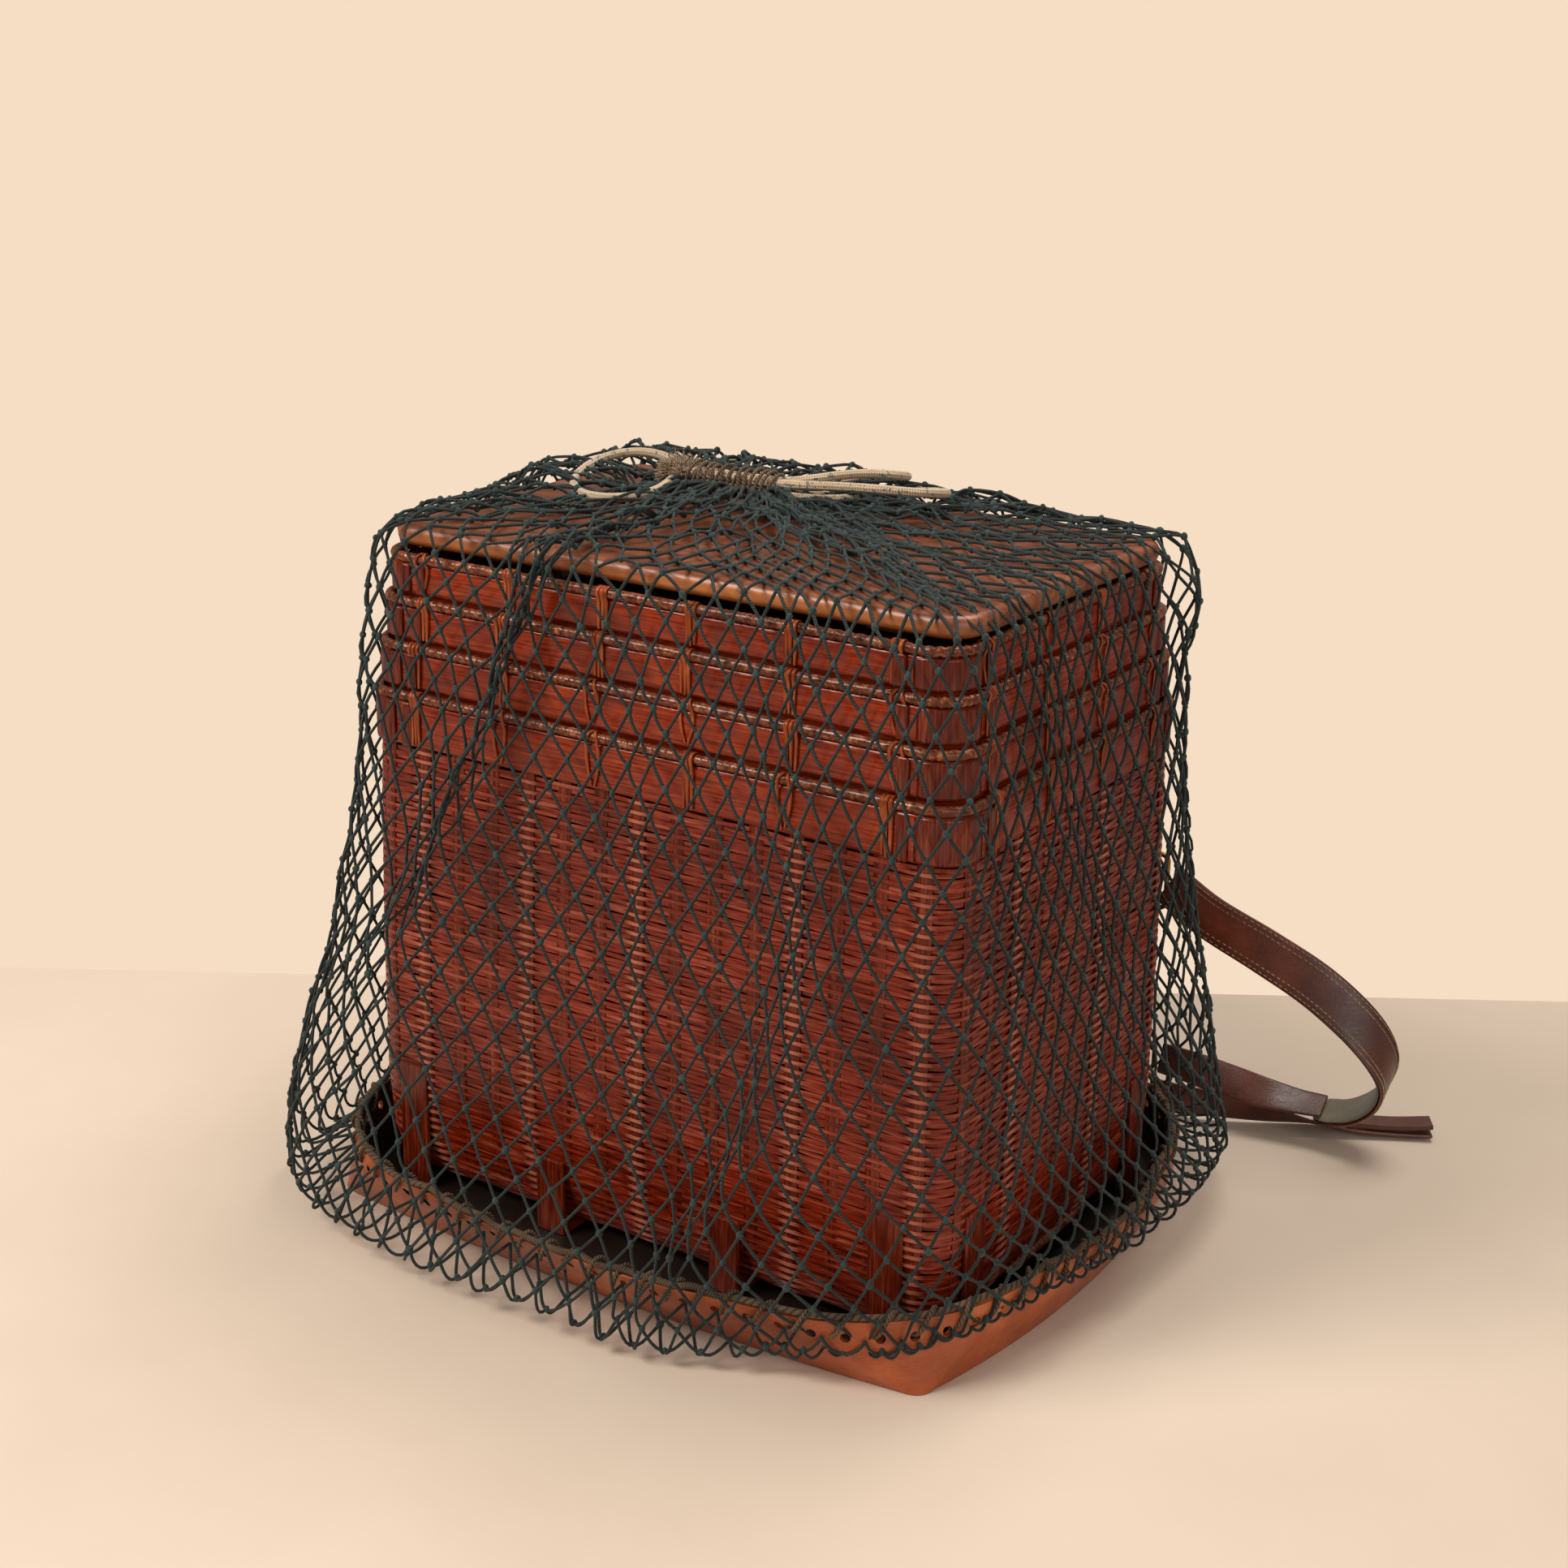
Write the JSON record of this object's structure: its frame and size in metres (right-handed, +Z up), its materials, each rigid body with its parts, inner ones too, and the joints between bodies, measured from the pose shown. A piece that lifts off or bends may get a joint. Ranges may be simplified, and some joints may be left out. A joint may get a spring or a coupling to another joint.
{
  "type": "wicker fishing creel",
  "caption": "Box-shaped bamboo fishing creel with lift-out trays and a hinged board lid, in a drawstring net sack with a leather base and carrying strap.",
  "frame": {"origin": "on the surface it stands on, under the middle of the basket", "axes": "+X along the long side, -Y towards the front, +Z up"},
  "size_m": [0.5224, 0.4724, 0.3942],
  "materials": {
    "leather": "waxed orange-brown leather",
    "strap_leather": "dark red-brown stitched leather",
    "strap_lining": "ridged grey-olive lining",
    "lacing": "brown twisted cord",
    "net": "blue-green twisted twine, knotted",
    "woven_bamboo": "red-brown lacquered split bamboo, woven",
    "bamboo_band": "red-brown lacquered flat bamboo",
    "wound_cane": "brown lacquered wound cane",
    "cane_ties": "orange-brown split cane",
    "lid_wood": "oiled brown board with worn golden edges",
    "drawstring": "beige braided cord with teal flecks",
    "brass": "aged brass"
  },
  "bodies": {
    "sack_and_basket": {"leather_base": "leather", "rim_lacing": "lacing", "net_hem": "net", "net_skirt": "net", "basket_wall": "woven_bamboo", "basket_floor": "woven_bamboo", "basket_rim_band": "bamboo_band", "basket_rim_bead": "wound_cane", "basket_rim_hoop": "bamboo_band", "basket_rim_ties": "cane_ties", "foot_slats": "bamboo_band", "corner_slats": "bamboo_band", "side_foot_beads": "wound_cane", "back_stay": "strap_leather", "stay_rivets": "brass", "strap_tabs": "strap_leather", "tab_rivets": "brass"},
    "lower_tray": {"lower_tray_band": "bamboo_band", "lower_tray_bead": "wound_cane", "lower_tray_hoop": "bamboo_band", "lower_tray_lip": "bamboo_band", "lower_tray_floor": "bamboo_band", "lower_tray_ties": "cane_ties"},
    "middle_tray": {"middle_tray_band": "bamboo_band", "middle_tray_bead": "wound_cane", "middle_tray_hoop": "bamboo_band", "middle_tray_lip": "bamboo_band", "middle_tray_floor": "bamboo_band", "middle_tray_ties": "cane_ties"},
    "upper_tray": {"upper_tray_band": "bamboo_band", "upper_tray_bead": "wound_cane", "upper_tray_hoop": "bamboo_band", "upper_tray_lip": "bamboo_band", "upper_tray_floor": "bamboo_band", "upper_tray_ties": "cane_ties", "net_crown": "net"},
    "lid": {"lid_board": "lid_wood", "lid_battens": "lid_wood", "lid_hinge_loops": "cane_ties", "net_mouth_loops": "lacing", "drawstring_knot": "drawstring", "drawstring_loop": "drawstring", "drawstring_near_bight": "drawstring", "drawstring_far_bight": "drawstring"},
    "shoulder_strap": {"shoulder_strap": "strap_leather", "strap_lining": "strap_lining", "lower_strap": "strap_leather", "strap_rings": "brass"},
    "billet": {"billet_strap": "strap_leather", "billet_tab": "strap_leather", "billet_ring": "brass"}
  },
  "joints": [
    {"name": "lower_tray_lift", "type": "slide", "parent": "sack_and_basket", "child": "lower_tray", "axis": [0, 0, 1], "range_m": [0, 0.06], "deforming": ["net_skirt"]},
    {"name": "middle_tray_lift", "type": "slide", "parent": "lower_tray", "child": "middle_tray", "axis": [0, 0, 1], "range_m": [0, 0.06], "deforming": ["net_skirt"]},
    {"name": "upper_tray_lift", "type": "slide", "parent": "middle_tray", "child": "upper_tray", "axis": [0, 0, 1], "range_m": [0, 0.06], "deforming": ["net_skirt"]},
    {"name": "lid_hinge", "type": "hinge", "parent": "upper_tray", "child": "lid", "pos_m": [0, 0.11275, 0.357], "axis": [-1, 0, 0], "range_deg": [0, 105], "deforming": ["net_crown", "net_skirt"]},
    {"name": "strap_swing", "type": "hinge", "parent": "sack_and_basket", "child": "shoulder_strap", "pos_m": [0.13058, 0.20498, 0.09], "axis": [0, 0, 1], "range_deg": [0, 50]},
    {"name": "billet_swing", "type": "hinge", "parent": "sack_and_basket", "child": "billet", "pos_m": [0.13058, 0.20498, 0.012], "axis": [0, 0, 1], "range_deg": [-12, 45]}
  ]
}
